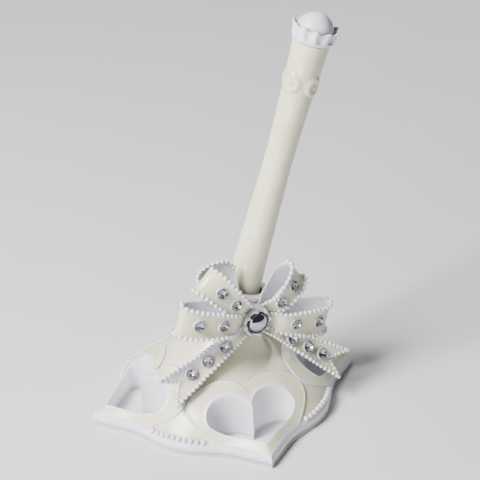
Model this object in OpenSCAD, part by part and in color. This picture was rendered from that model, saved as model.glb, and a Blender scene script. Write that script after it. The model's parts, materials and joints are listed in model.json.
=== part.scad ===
// Wedding guest-book pen standing in a cast resin stand with heart cut-outs and a ribbon bow.
// Origin: centre of the base on the surface it stands on. +Z up, the bow faces -Y, the pen leans to +X.

/* [Stand] */
// Distance from the centre of the base to a corner
corner_r = 60; // [56:1:64]
// How far the middle of each side swells past the straight side
side_bulge = 5.6; // [4:0.2:7]
// Height of the upper rim of the base
rim_h = 4.4; // [4:0.2:6]
// Rise of the upper surface for each millimetre inwards
slope = 0.507; // [0.48:0.005:0.53]
// Extra height of the hollow cone that sweeps up to the neck
cone_h = 16; // [14:0.5:18]
// Thickness of the felt pad under the base
pad_t = 1.5; // [1:0.1:2]
// Height of the raised heart plaques above the field
plaque_t = 1.0; // [0.6:0.1:1.4]
// Diameter of the beads along the middle of each side
side_bead_d = 2.4; // [2:0.1:2.5]

/* [Pen socket] */
// Lean of the pen from the vertical, in degrees
pen_lean = 17.62; // [16:0.02:19]
// Height at which the pen's axis crosses the middle of the base
pen_cross_h = 19.33; // [18.5:0.01:20]
// Outer radius of the neck of the stand
neck_r = 11; // [10.8:0.1:11.4]
// Outer radius of the plastic sleeve in the neck
sleeve_r = 9.4; // [9.2:0.1:9.6]
// Wall of the plastic sleeve
sleeve_wall = 1.2; // [1:0.1:1.3]

/* [Pen] */
// Radius of the barrel at its waist
waist_r = 6.06; // [5.8:0.02:6.4]
// Radius of the barrel where it enters the stand
grip_r = 7.8; // [7.6:0.05:7.9]
// Radius of the barrel under the finial
crown_r = 7.9; // [7.7:0.05:8]
// Radius of the round dished bosses
boss_r = 4.2; // [3.8:0.1:4.4]
// Number of petals round the finial
petals = 10; // [8:1:12]

/* [Bow] */
// Turn of the bow about the pen's axis, in degrees
bow_turn = 10; // [8:1:12]
// Radius of the knot
knot_r = 6.9; // [6.6:0.1:7.2]
// Thickness of the ribbon
ribbon_t = 1.4; // [1.2:0.1:1.6]
// Diameter of the beads along the ribbon's edges
bead_d = 1.8; // [1.6:0.1:1.9]
// Distance between neighbouring edge beads
bead_pitch = 2.2; // [2.1:0.1:2.6]
// Diameter of the small crystals
stone_d = 4.6; // [4.4:0.1:4.8]
// Diameter of the cabochon on the knot
gem_d = 8.8; // [8.4:0.1:9]

/* [Hidden] */
$fn = 48;

ivory = [0.93, 0.91, 0.84];
white = [0.95, 0.95, 0.97];

// Base outline: half the straight side, and the half length of the swelling in its middle
half_side = corner_r / sqrt(2);
bulge_half = 26;
// Radius where the surface starts to turn square to the pen's axis, and over how far
lean_from_r = 30;
lean_over = 16;
// Columns along each side and rings from the neck out to the rim
side_columns = 12;
ring_steps = [0, 0.03, 0.07, 0.12, 0.19, 0.27, 0.36, 0.46, 0.57, 0.68, 0.79, 0.9, 1];

// Plaques: kept this far inside the rim, rows of facets across them, gap over the field
plaque_inset = 0.6;
plaque_steps = 4;
seat_gap = 0.3;
// Beads on each side of the base, how far in they lie, and how far the row curves back at its ends
side_bead_count = 10;
side_bead_gap = 0.25;
side_bead_inset = 1.6;
side_bead_sag = 2.4;
side_bead_lift = 0.25;

// Heights along the pen's axis, counted from where it crosses the middle of the base
neck_top_s = 34;
band_s = [20.8, 35.6];
band_r = 13;
socket_floor_s = -9.2;
socket_floor_t = 1.5;
tip_s = -8.9;
nose_s = [-5, 14];
barrel_s = [14, 145];
grip_s = 28;
waist_s = 95;
boss_s = 130;
finial_s = 145;
dome_s = 148;
dome_r = 8.4;
refill_r = 1.5;
refill_s = [4, 112];

// Bow: middle of the knot, outwards from the pen's axis and along it
knot_out = 16.25;
knot_s = 26.7;
// Radius of the cabochon's domed face
gem_curve_r = 5.6;

// Each loop: angle round the knot, swing to the back, length, depth, half width of the ribbon
upper_left = [147, 10, 33.5, 13, 6.6];
upper_right = [51.5, 12, 27.5, 12, 6.4];
lower_left = [180, 4, 37, 11, 7];
lower_right = [2, 3, 36.5, 12, 7];
// Places of the crystals along each loop
upper_left_stones = [16.5, 25.5];
upper_right_stones = [12.5, 21];
lower_left_stones = [18, 29.5];
lower_right_stones = [17.5, 29.5];
// Each tail: angle, swing to the back, roll, length, half width at the end
left_tail = [222.5, -1, 28, 49, 6.8];
right_tail = [-21, -12, -26, 47, 6.4];
left_tail_stones = [17.5, 27, 35.5];
right_tail_stones = [19, 28, 36];
// Tails: slope of the valley, depth of the notch in the end, half width at the knot
valley = 0.45;
notch = 7;
tail_root_w = 2.2;
// Room kept free between pieces of the bow
bow_gap = 0.3;
// Crystals: height over the ribbon, height of the straight girdle, whole height; then their cups
stone_seat = 0.2;
girdle_h = 0.7;
stone_h = 1.8;
cup_wall = 0.45;
cup_depth = 2;

// ---------- curves ----------

function bezier(p, t) = pow(1 - t, 3) * p[0] + 3 * t * pow(1 - t, 2) * p[1]
    + 3 * t * t * (1 - t) * p[2] + pow(t, 3) * p[3];

// One heart from its notch round to its point and back: right half, then its mirror image
function heart_half(shoulder, flank, n = 8) = concat(
    [for (i = [0 : n - 1]) bezier(shoulder, i / n)],
    [for (i = [0 : n]) bezier(flank, i / n)]);
function heart(half) = concat(half, [for (i = [len(half) - 2 : -1 : 1]) [-half[i].x, half[i].y]]);

// Hole and outer edge of a plaque: across the heart, then outwards from the centre of the base
hole_outline = heart(heart_half(
    [[0, 37.8], [1, 28.5], [19.5, 26.5], [19.5, 36]],
    [[19.5, 36], [19.5, 39.2], [9, 45.8], [0, 53.2]]));
plaque_outline = heart(heart_half(
    [[0, 31], [1.5, 22.5], [19, 20], [25.3, 25.5]],
    [[25.3, 25.5], [29.5, 31.5], [22, 42], [0, 59.6]]));

// Point at distance d along a list of points
function walk(p, d, i = 0) = i >= len(p) - 2 || d <= norm(p[i + 1] - p[i])
    ? p[i] + (p[i + 1] - p[i]) * d / norm(p[i + 1] - p[i])
    : walk(p, d - norm(p[i + 1] - p[i]), i + 1);
function length(p, i = 0) = i >= len(p) - 1 ? 0 : norm(p[i + 1] - p[i]) + length(p, i + 1);

// Loop seen along its width: a teardrop with its point at the knot
function teardrop(l, depth, grow, n = 28) = [for (i = [0 : n - 1])
    let (t = 360 * i / n)
    [l / 2 - (l / 2 + grow) * cos(t), -(depth / 2 + grow) * sin(t) * pow(abs(sin(t / 2)), 0.7)]];
// Half width of the ribbon at distance x from the knot
function half_width(x, w) = w * (1 - exp(-(max(x, 0) + 2) / 14));

// ---------- base surface ----------

// Distance of the outline from the centre line of the base, at a place along one side
function outline_out(along) = half_side
    + (abs(along) < bulge_half ? side_bulge * pow(cos(90 * along / bulge_half), 2) : 0);
// Outline point of column j of side k
function outline_point(k, j) =
    let (along = half_side * (2 * j / side_columns - 1), out = outline_out(along), a = -45 + 90 * k)
    [out * cos(a) - along * sin(a), out * sin(a) + along * cos(a)];
// Upright height of the surface at radius r, where the outline's radius is edge
function surface_h(r, edge) =
    let (q = r + (corner_r - edge) * pow(max(0, r - 28) / (edge - 28), 2.5))
    rim_h + slope * (corner_r - q) + cone_h * exp(-(q - 10) / 4);
// Point at height h over a place: upright near the rim, square to the pen's axis near the neck
function leaned(q, h) =
    let (w = max(0, min(1, (lean_from_r - norm(q)) / lean_over)), m = w * w * (3 - 2 * w), s = h - pen_cross_h,
         leaning = [q.x * cos(pen_lean) + s * sin(pen_lean), q.y,
                    pen_cross_h + s * cos(pen_lean) - q.x * sin(pen_lean)])
    [q.x, q.y, h] * (1 - m) + leaning * m;
// Point of the field on the way from the neck, at f = 0, to the outline point p, at f = 1
function surface_point(p, f) =
    let (edge = norm(p), r = neck_r + (edge - neck_r) * f)
    leaned(p / edge * r, surface_h(r, edge));

function middle(ring) = [for (r = [0 : len(ring) - 1]) 1] * ring / len(ring);

// Solid inside a stack of closed rings, with a fan of facets at each end
module ring_solid(rings) {
    n = len(rings[0]);
    m = len(rings);
    top = (m - 1) * n;
    walls = [for (i = [0 : m - 2]) for (j = [0 : n - 1])
        let (a = i * n + j, b = i * n + (j + 1) % n, c = a + n, d = b + n)
        each [[a, d, b], [a, c, d]]];
    ends = [for (j = [0 : n - 1])
        let (next = (j + 1) % n)
        each [[m * n, j, next], [m * n + 1, top + next, top + j]]];
    polyhedron(concat([for (ring = rings) each ring], [middle(rings[0]), middle(rings[m - 1])]),
        concat(walls, ends));
}

columns = 4 * side_columns;
outline = [for (k = [0 : 3]) for (j = [0 : side_columns - 1]) outline_point(k, j)];
function neck_ring(s) = [for (p = outline) let (u = p / norm(p) * neck_r)
    [u.x * cos(pen_lean) + s * sin(pen_lean), u.y, pen_cross_h + s * cos(pen_lean) - u.x * sin(pen_lean)]];

module stand_body() {
    ring_solid(concat(
        [[for (p = outline) [p.x, p.y, pad_t]]],
        [for (i = [len(ring_steps) - 1 : -1 : 0]) [for (p = outline) surface_point(p, ring_steps[i])]],
        [neck_ring(neck_top_s)]));
}

module heart_hole(k) {
    rotate([0, 0, 90 * k])
        mirror([0, 1, 0])
            translate([0, 0, -1])
                linear_extrude(60)
                    polygon(hole_outline);
}

module stand_casting() {
    color(ivory)
        difference() {
            stand_body();
            for (k = [0 : 3])
                heart_hole(k);
            at_pen()
                translate([0, 0, socket_floor_s - socket_floor_t])
                    cylinder(r = sleeve_r, h = 60);
        }
}

module base_pad() {
    color([0.86, 0.86, 0.85])
        difference() {
            linear_extrude(pad_t)
                polygon(outline);
            for (k = [0 : 3])
                heart_hole(k);
        }
}

// Radius of the base's outline in a direction, by stepping towards it
function edge_r(angle, r = 45, steps = 8) =
    let (a = (angle % 90 + 90) % 90 - 45)
    steps == 0 ? r : edge_r(angle, outline_out(r * sin(a)) / cos(a), steps - 1);
// Point over the base at [across, out] of heart k, kept inside the rim
function plaque_point(p, k, lift) =
    let (angle = atan2(p.x, p.y), edge = edge_r(angle), r = min(norm(p), edge - plaque_inset), a = angle - 90 + 90 * k)
    leaned([r * cos(a), r * sin(a)], surface_h(r, edge) + lift);

// Ring of facets between the hole and the outer edge of a heart, under and over
module plaque(k) {
    n = len(hole_outline);
    rows = concat(
        [for (i = [0 : plaque_steps]) [i / plaque_steps, seat_gap]],
        [for (i = [plaque_steps : -1 : 0]) [i / plaque_steps, plaque_t]]);
    points = [for (row = rows) for (j = [0 : n - 1])
        plaque_point(hole_outline[j] * (1 - row[0]) + plaque_outline[j] * row[0], k, row[1])];
    faces = [for (i = [0 : len(rows) - 1]) for (j = [0 : n - 1])
        let (i2 = (i + 1) % len(rows), j2 = (j + 1) % n,
             a = i * n + j, b = i * n + j2, c = i2 * n + j, d = i2 * n + j2)
        each [[a, d, b], [a, c, d]]];
    color(ivory)
        polyhedron(points, faces);
}

// Row of beads on the field below the place where two hearts meet
module side_beads(k) {
    out = half_side + side_bulge - side_bead_inset;
    color(white)
        rotate([0, 0, -45 + 90 * k])
            for (i = [0 : side_bead_count - 1]) {
                along = (i - (side_bead_count - 1) / 2) * (side_bead_d + side_bead_gap);
                sag = out - pow(along / (bulge_half / 2), 2) * side_bead_sag;
                translate([sag, along, surface_h(norm([sag, along]), norm([outline_out(along), along]))])
                    rotate([0, 45, 0])
                        translate([0, 0, side_bead_lift])
                            cylinder(d = side_bead_d, h = side_bead_d / 2, $fn = 24);
            }
}

// ---------- neck ----------

module at_pen() {
    translate([0, 0, pen_cross_h])
        rotate([0, pen_lean, 0])
            children();
}

module socket_sleeve() {
    color([0.2, 0.2, 0.21])
        at_pen()
            difference() {
                translate([0, 0, socket_floor_s - socket_floor_t])
                    cylinder(r = sleeve_r, h = neck_top_s - socket_floor_s + socket_floor_t);
                translate([0, 0, socket_floor_s])
                    cylinder(r = sleeve_r - sleeve_wall, h = 60);
            }
}

module neck_ribbon() {
    color(white)
        at_pen()
            rotate_extrude()
                polygon([[neck_r + 0.05, 22.6], [neck_r + 0.75, band_s[0]], [band_r - 0.5, band_s[0]], [band_r, band_s[0] + 2.5],
                    [band_r - 0.6, 26], [band_r - 0.1, 29.5], [band_r - 0.7, 31.2], [band_r - 0.2, 32.6],
                    [band_r - 0.8, 34], [band_r - 0.9, band_s[1]], [neck_r - 1, band_s[1]],
                    [neck_r - 1, neck_top_s], [neck_r + 0.05, neck_top_s]]);
}

// ---------- bow ----------

module at_bow() {
    at_pen()
        rotate([0, 0, bow_turn])
            translate([0, -knot_out, knot_s])
                children();
}

// Frame of a loop or tail: x away from the knot, y to the back, z across the ribbon
module at_strip(strip, roll = 0) {
    at_bow()
        rotate([0, -strip[0], 0])
            rotate([0, 0, strip[1]])
                rotate([roll, 0, 0])
                    children();
}

// Space that belongs to the neck, the pen's path and the knot
module core_space() {
    at_pen()
        translate([0, 0, band_s[0] - 3])
            cylinder(r = band_r + 0.1, h = band_s[1] - band_s[0] + 3.1);
    at_pen()
        cylinder(r = grip_r + 1.2, h = 90);
    at_bow()
        rotate([90, 0, 0])
            translate([0, 0, -12])
                cylinder(r = knot_r + 0.05, h = 20);
}

// Everything within the ribbon's width, as a plank across the loop's depth
module ribbon_width(l, w, extra) {
    xs = [for (i = [0 : 10]) i * (l + 4) / 10];
    rotate([90, 0, 0])
        translate([0, 0, -20])
            linear_extrude(40)
                polygon(concat([for (x = xs) [x, -half_width(x, w) - extra]],
                    [for (i = [10 : -1 : 0]) [xs[i], half_width(xs[i], w) + extra]]));
}

module loop_prism(strip, grow) {
    translate([0, 0, -10])
        linear_extrude(20)
            polygon(teardrop(strip[2], strip[3], grow));
}

module loop(strip) {
    intersection() {
        difference() {
            loop_prism(strip, ribbon_t / 2);
            loop_prism(strip, -ribbon_t / 2);
        }
        ribbon_width(strip[2], strip[4], 0);
    }
}

module loop_beads(strip) {
    path = teardrop(strip[2], strip[3], 0);
    run = concat(path, [path[0]]);
    count = floor(length(run) / bead_pitch);
    difference() {
        for (i = [0 : count - 1]) {
            p = walk(run, i * length(run) / count);
            if (p.x > knot_r + 1)
                for (side = [-1, 1])
                    translate([p.x, p.y, side * (half_width(p.x, strip[4]) + 0.3)])
                        sphere(d = bead_d, $fn = 16);
        }
        ribbon_width(strip[2], strip[4], 0);
    }
}

// Room that a lower loop and its beads take, which the loop above it keeps clear of
module loop_room(strip) {
    at_strip(strip)
        ribbon_width(strip[2], strip[4], bead_d / 2 + 0.35);
}

module upper_loop(strip, below) {
    color(ivory)
        difference() {
            at_strip(strip)
                loop(strip);
            loop_room(below);
            core_space();
        }
}

module lower_loop(strip) {
    color(ivory)
        difference() {
            at_strip(strip)
                loop(strip);
            core_space();
            tail_room(right_tail, right_tail_stones);
        }
}

module upper_edging(strip, below) {
    color(white)
        difference() {
            at_strip(strip)
                loop_beads(strip);
            loop_room(below);
            core_space();
        }
}

module lower_edging(strip) {
    color(white)
        difference() {
            at_strip(strip)
                loop_beads(strip);
            core_space();
            tail_room(right_tail, right_tail_stones);
        }
}

// Room that a tail, its beads and its crystals take, which the loop in front of it keeps clear of
module tail_room(spec, places) {
    w = spec[4] + bead_d;
    front = -bow_gap - valley * w;
    at_strip(spec, spec[2])
        rotate([90, 0, 90])
            translate([0, 0, knot_r])
                linear_extrude(spec[3])
                    polygon([[front, -w], [-bow_gap, 0], [front, w], [bead_d, w], [bead_d, -w]]);
    for (x = places)
        on_tail(spec, x)
            translate([0, 0, -cup_depth])
                cylinder(d = stone_d + 2 * (cup_wall + bow_gap), h = cup_depth + stone_h + 2 * bow_gap);
}

// Swallow-tailed strip with a shallow valley along its middle
module tail_width(tail, extra) {
    l = tail[3];
    w = tail[4];
    rotate([90, 0, 0])
        translate([0, 0, -20])
            linear_extrude(40)
                polygon([[knot_r, -tail_root_w - extra], [l, -w - extra], [l - notch, 0], [l, w + extra],
                    [knot_r, tail_root_w + extra]]);
}

module tail(tail_spec) {
    w = tail_spec[4] + 2;
    intersection() {
        rotate([90, 0, 90])
            linear_extrude(tail_spec[3] + 2)
                polygon([[-valley * w, -w], [0, 0], [-valley * w, w], [ribbon_t - valley * w, w],
                    [ribbon_t, 0], [ribbon_t - valley * w, -w]]);
        tail_width(tail_spec, 0);
    }
}

module tail_beads(spec) {
    l = spec[3];
    w = spec[4];
    start = [knot_r + 3, tail_root_w + (w - tail_root_w) * 3 / (l - knot_r)];
    difference() {
        for (side = [-1, 1]) {
            run = [start, [l, w], [l - notch, 0]];
            count = floor(length(run) / bead_pitch);
            for (i = [0 : count]) {
                p = walk(run, i * length(run) / count);
                if (side > 0 || i < count)
                    translate([p.x, ribbon_t / 2 - valley * p.y, side * p.y])
                        sphere(d = bead_d, $fn = 16);
            }
        }
        tail_width(spec, 0);
    }
}

module tail_piece(spec) {
    color(ivory)
        difference() {
            at_strip(spec, spec[2])
                tail(spec);
            core_space();
        }
}

module tail_edging(spec) {
    color(white)
        difference() {
            at_strip(spec, spec[2])
                tail_beads(spec);
            core_space();
        }
}

module bow_knot() {
    color(white)
        difference() {
            union() {
                at_bow()
                    rotate([90, 0, 0])
                        translate([0, 0, -7])
                            cylinder(r = knot_r, h = 8);
                at_bow()
                    for (i = [0 : 7])
                        rotate([90, 22.5 + 45 * i, 0])
                            translate([5.6, 0, 1])
                                sphere(d = 1.8, $fn = 24);
            }
            at_pen()
                cylinder(r = band_r + 0.02, h = 60);
            at_bow()
                rotate([90, 0, 0])
                    translate([0, 0, -1])
                        cylinder(d = gem_d + 1, h = 10);
        }
}

module gem_setting() {
    color([0.3, 0.3, 0.33])
        at_bow()
            rotate([90, 0, 0])
                translate([0, 0, -1])
                    difference() {
                        cylinder(d = gem_d + 1, h = 2.8);
                        translate([0, 0, 0.5])
                            cylinder(d = gem_d, h = 4);
                    }
}

module centre_gem() {
    rise = gem_curve_r - sqrt(gem_curve_r * gem_curve_r - gem_d * gem_d / 4);
    color([0.6, 0.62, 0.66])
        at_bow()
            rotate([90, 0, 0])
                translate([0, 0, -0.5]) {
                    cylinder(d = gem_d, h = 1.9);
                    translate([0, 0, 1.9])
                        intersection() {
                            translate([0, 0, rise - gem_curve_r])
                                sphere(r = gem_curve_r);
                            cylinder(d = gem_d, h = 10);
                        }
                }
}

// ---------- crystals ----------

// Lean of the front of a loop at distance x, and its distance in front of the middle
function front_at(strip, x) = let (t = acos(1 - 2 * x / strip[2]))
    (strip[3] / 2 + ribbon_t / 2) * sin(t) * pow(sin(t / 2), 0.7);
module on_loop(strip, x) {
    at_strip(strip)
        translate([x, -front_at(strip, x), 0])
            rotate([90, 0, atan2(front_at(strip, x - 1) - front_at(strip, x + 1), 2)])
                children();
}
module on_tail(spec, x) {
    at_strip(spec, spec[2])
        translate([x, -valley * 2.2, 0])
            rotate([90, 0, 0])
                children();
}

module cup() {
    difference() {
        translate([0, 0, -cup_depth])
            cylinder(d = stone_d + 2 * cup_wall, h = cup_depth + 1.1);
        cylinder(d = stone_d, h = 3);
    }
}
module stone() {
    translate([0, 0, stone_seat])
        cylinder(d = stone_d, h = girdle_h);
    translate([0, 0, stone_seat + girdle_h])
        cylinder(d1 = stone_d, d2 = stone_d * 0.55, h = stone_h - girdle_h);
}

module loop_cups(strip, places) {
    difference() {
        for (x = places)
            on_loop(strip, x)
                cup();
        at_strip(strip)
            loop_prism(strip, ribbon_t / 2);
    }
}
module tail_cups(spec, places) {
    difference() {
        for (x = places)
            on_tail(spec, x)
                cup();
        at_strip(spec, spec[2])
            rotate([90, 0, 90])
                linear_extrude(spec[3])
                    polygon([[-valley * 9, -9], [0, 0], [-valley * 9, 9], [9, 9], [9, -9]]);
    }
}

module stone_cups() {
    color(white) {
        loop_cups(upper_left, upper_left_stones);
        loop_cups(upper_right, upper_right_stones);
        loop_cups(lower_left, lower_left_stones);
        loop_cups(lower_right, lower_right_stones);
        tail_cups(left_tail, left_tail_stones);
        tail_cups(right_tail, right_tail_stones);
    }
}

module rhinestones() {
    color([0.75, 0.78, 0.82]) {
        for (x = upper_left_stones)
            on_loop(upper_left, x)
                stone();
        for (x = upper_right_stones)
            on_loop(upper_right, x)
                stone();
        for (x = lower_left_stones)
            on_loop(lower_left, x)
                stone();
        for (x = lower_right_stones)
            on_loop(lower_right, x)
                stone();
        for (x = left_tail_stones)
            on_tail(left_tail, x)
                stone();
        for (x = right_tail_stones)
            on_tail(right_tail, x)
                stone();
    }
}

// ---------- pen ----------

// Radius of the barrel: a slim waist that swells to the grip and to the crown
function barrel_r(s) = s < waist_s
    ? waist_r + (grip_r - waist_r) * pow((waist_s - s) / (waist_s - grip_s), 1.3)
    : waist_r + (crown_r - waist_r) * pow((s - waist_s) / (finial_s - waist_s), 1.6);

module barrel_outside() {
    rotate_extrude()
        polygon(concat([[0, barrel_s[0]], [6.2, barrel_s[0]]],
            [for (s = [grip_s : (finial_s - grip_s) / 26 : finial_s]) [barrel_r(s), s]], [[0, finial_s]]));
}

module pen_barrel() {
    color(ivory)
        at_pen()
            difference() {
                barrel_outside();
                translate([0, 0, barrel_s[0] - 1])
                    cylinder(r = refill_r + 0.05, h = refill_s[1] - barrel_s[0] + 1.5);
            }
}

module barrel_bosses() {
    color(white)
        at_pen()
            difference() {
                for (i = [0 : 3])
                    rotate([0, 0, 45 + 90 * i - 12])
                        translate([0, 0, boss_s])
                            rotate([0, 90, 0])
                                difference() {
                                    translate([0, 0, 4])
                                        cylinder(r = boss_r, h = 3.9);
                                    translate([0, 0, 7.2])
                                        cylinder(r = boss_r - 0.7, h = 3);
                                }
                barrel_outside();
            }
}

module finial_ruffle() {
    color(white)
        at_pen()
            intersection() {
                rotate_extrude()
                    polygon([[0, finial_s], [crown_r, finial_s], [8.6, 147], [9.4, 150], [10.6, 154.4],
                        [9.7, 155], [8.7, 151.5], [8.5, dome_s], [0, dome_s]]);
                translate([0, 0, finial_s])
                    linear_extrude(12) {
                        circle(r = 8.9);
                        for (i = [0 : petals - 1])
                            rotate(360 * i / petals)
                                translate([8, 0])
                                    circle(r = 2.7);
                    }
            }
}

module finial_dome() {
    color(white)
        at_pen()
            intersection() {
                translate([0, 0, dome_s + 3.4])
                    sphere(r = dome_r);
                translate([0, 0, dome_s])
                    cylinder(r = 10, h = 20);
            }
}

module nose_cone() {
    color([0.8, 0.8, 0.82])
        at_pen()
            rotate_extrude()
                polygon([[1.15, nose_s[0]], [1.6, nose_s[0]], [4.6, 6], [6.2, nose_s[1]], [1.6, nose_s[1]],
                    [1.6, refill_s[0]], [1.15, refill_s[0]]]);
}

module refill_tube() {
    color([0.75, 0.6, 0.3])
        at_pen()
            translate([0, 0, refill_s[0]])
                cylinder(r = refill_r, h = refill_s[1] - refill_s[0]);
}

module refill_point() {
    color([0.8, 0.65, 0.3])
        at_pen()
            rotate_extrude()
                polygon([[0, tip_s], [0.4, tip_s], [1.1, tip_s + 3], [1.1, refill_s[0]], [0, refill_s[0]]]);
}

stand_casting();
base_pad();
socket_sleeve();
plaque(0);  // plaque_front
plaque(1);  // plaque_right
plaque(2);  // plaque_back
plaque(3);  // plaque_left
side_beads(0);  // beads_front_right
side_beads(1);  // beads_back_right
side_beads(2);  // beads_back_left
side_beads(3);  // beads_front_left
neck_ribbon();
bow_knot();
gem_setting();
centre_gem();
upper_loop(upper_left, lower_left);  // loop_upper_left
upper_loop(upper_right, lower_right);  // loop_upper_right
lower_loop(lower_left);  // loop_lower_left
lower_loop(lower_right);  // loop_lower_right
tail_piece(left_tail);  // tail_left
tail_piece(right_tail);  // tail_right
upper_edging(upper_left, lower_left);  // edging_upper_left
upper_edging(upper_right, lower_right);  // edging_upper_right
lower_edging(lower_left);  // edging_lower_left
lower_edging(lower_right);  // edging_lower_right
tail_edging(left_tail);  // edging_tail_left
tail_edging(right_tail);  // edging_tail_right
stone_cups();
rhinestones();
pen_barrel();
barrel_bosses();
finial_ruffle();
finial_dome();
nose_cone();
refill_tube();
refill_point();
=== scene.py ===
"""Looks for a guest-book pen in its stand: enamelled cast resin, a beaded ribbon bow, cut crystals."""

import json
import math

import bmesh
import bpy
from mathutils import Matrix, Vector


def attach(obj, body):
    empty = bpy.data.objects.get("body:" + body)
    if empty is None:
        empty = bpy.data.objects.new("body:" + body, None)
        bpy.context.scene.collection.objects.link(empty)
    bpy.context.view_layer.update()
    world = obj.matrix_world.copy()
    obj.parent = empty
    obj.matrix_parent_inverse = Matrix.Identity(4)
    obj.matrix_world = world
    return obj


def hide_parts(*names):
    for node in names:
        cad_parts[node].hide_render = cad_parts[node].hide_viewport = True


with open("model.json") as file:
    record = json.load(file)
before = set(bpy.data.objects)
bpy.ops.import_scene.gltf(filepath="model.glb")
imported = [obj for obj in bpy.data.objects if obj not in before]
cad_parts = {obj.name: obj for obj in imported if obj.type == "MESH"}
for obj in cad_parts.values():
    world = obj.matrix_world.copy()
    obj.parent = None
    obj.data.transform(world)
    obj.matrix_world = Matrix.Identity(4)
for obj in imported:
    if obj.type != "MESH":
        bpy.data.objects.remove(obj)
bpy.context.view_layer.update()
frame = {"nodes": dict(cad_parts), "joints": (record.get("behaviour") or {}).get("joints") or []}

# ---------- sizes in millimetres, as in the CAD source ----------

MM = 0.001
# Base: radius to a corner, then how far each side swells and half the length of that swelling
CORNER_R, SIDE_BULGE, BULGE_HALF = 60, 5.6, 26
HALF_SIDE = CORNER_R / math.sqrt(2)
RIM_H, SLOPE, PAD_T = 4.4, 0.507, 1.5
# The cone's rise over the sloping field, the radius it is measured at and the distance it fades over
CONE_H, CONE_R, CONE_FADE = 16, 10, 4
# Outside this radius the field bends down to meet a rim that is nearer than a corner
BEND_R, BEND_POWER = 28, 2.5
# Inside this radius the field turns square to the pen's axis, over this distance
LEAN_FROM_R, LEAN_OVER = 30, 16
PLAQUE_T, PLAQUE_INSET = 1.0, 0.6
# Bead rows on the base's sides: size, number, gap, how far in, how far their ends curve in, lift
SIDE_BEAD_D, SIDE_BEAD_COUNT, SIDE_BEAD_GAP = 2.4, 10, 0.25
SIDE_BEAD_INSET, SIDE_BEAD_SAG, SIDE_BEAD_LIFT = 1.6, 2.4, 0.25
# Height where the pen's axis crosses the middle of the base; every _S is a height along it from there
PEN_CROSS_H = 19.33
NECK_R, NECK_TOP_S, BORE_R, BORE_FLOOR_S = 11, 34, 9.45, -10.7
BAND_R, BAND_S, RIM_R = 13, (20.8, 35.6), 8.25
WAIST_R, GRIP_R, CROWN_R = 6.06, 7.8, 7.9
BARREL_S, GRIP_S, WAIST_S, BOSS_S, FINIAL_S = 14.02, 28, 95, 130, 147.2
BOSS_COUNT, BOSS_ANGLE = 4, 33
DOME_R, DOME_MIDDLE_S, DOME_FOOT_S, PETALS = 7.8, 152.03, 148.7, 10
KNOT_R, KNOT_OUT, KNOT_S, KNOT_TURN = 6.9, 16.25, 26.7, 10
NUB_COUNT, NUB_OUT, NUB_R, NUB_H = 8, 5.85, 1.2, 1.25
RIBBON_T, BEAD_R, STONE_R, GEM_R, GEM_CURVE_R = 1.4, 0.94, 2.3, 4.4, 5.6

# Loops: angle round the knot, swing to the back, length, depth, half width; then the crystals' places
LOOPS = {
    "upper_left": ((147, 10, 33.5, 13, 6.6), (16.5, 25.5)),
    "upper_right": ((51.5, 12, 27.5, 12, 6.4), (12.5, 21)),
    "lower_left": ((180, 4, 37, 11, 7), (18, 29.5)),
    "lower_right": ((2, 3, 36.5, 12, 7), (17.5, 29.5)),
}
# How far each loop's edges turn outwards, on its - and its + side
FLARES = {"upper_left": (1.0, 1.3), "upper_right": (1.7, 0.7),
          "lower_left": (0.8, 1.9), "lower_right": (1.6, 0.8)}
# How far each loop's back is shifted across it
BACK_SHIFT = {"upper_left": 2.0, "upper_right": 1.0, "lower_left": -0.8, "lower_right": 0.8}
# How far each loop's beads run, as a share of the way round it
BEADS_TO = {"upper_left": 0.49, "upper_right": 0.53, "lower_left": 0.54, "lower_right": 0.54}
# The loop that lies in front of each upper loop and covers some of its beads
IN_FRONT = {"upper_left": "lower_left", "upper_right": "lower_right"}
# The back of the upper left loop is spread into a round petal: its left and right edge in the loop's frame
PETAL = (((4, 0.9, 0), (14, 5.5, 2.4), (24, 7, 3.4), (30.6, 6.8, 3.4), (32.8, 6.5, 1.9), (33.5, 6.4, 0.3)),
         ((4, 0.9, 0), (12, 5, -4.2), (18, 7, -8.6), (23, 7.5, -11.5), (27.5, 7.4, -10.2), (31, 7, -6.4),
          (32.9, 6.6, -3), (33.5, 6.4, 0.3)))
# Tails: angle, swing to the back, roll, length, half width at the end; then the crystals' places
TAILS = {
    "tail_left": ((222.5, -1, 28, 49, 6.8), (17.5, 27, 35.5)),
    "tail_right": ((-21, -12, -26, 47, 6.4), (19, 28, 36)),
}
# Tails: steepness of the valley fold, depth of the swallow-tail notch, half width and start at the knot
VALLEY, NOTCH, TAIL_ROOT_W, TAIL_START = 0.45, 7, 2.2, 3
# The tails are backed with resin down towards the base, this many times the ribbon's own half thickness
TAIL_BACKING = 3.4


def turn(degrees, axis):
    return Matrix.Rotation(math.radians(degrees), 4, axis)


pen_axis = next(j for j in frame["joints"] if j["name"] == "pen_lift")["axis"]
PEN_LEAN = math.degrees(math.atan2(pen_axis[0], pen_axis[2]))
AT_PEN = Matrix.Translation((0, 0, PEN_CROSS_H)) @ turn(PEN_LEAN, "Y")
FROM_PEN = AT_PEN.inverted()
AT_BOW = AT_PEN @ turn(KNOT_TURN, "Z") @ Matrix.Translation((0, -KNOT_OUT, KNOT_S))
# The knot, its cup and its cabochon are turned parts that face out along the bow's -Y
AT_KNOT = AT_BOW @ turn(90, "X")


def at_strip(strip, roll=0):
    """Frame of a loop or tail: x away from the knot, y to the back, z across the ribbon."""
    return AT_BOW @ turn(-strip[0], "Y") @ turn(strip[1], "Z") @ turn(roll, "X")


# ---------- mesh helpers ----------


def clamp(value):
    return max(0.0, min(1.0, value))


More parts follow.
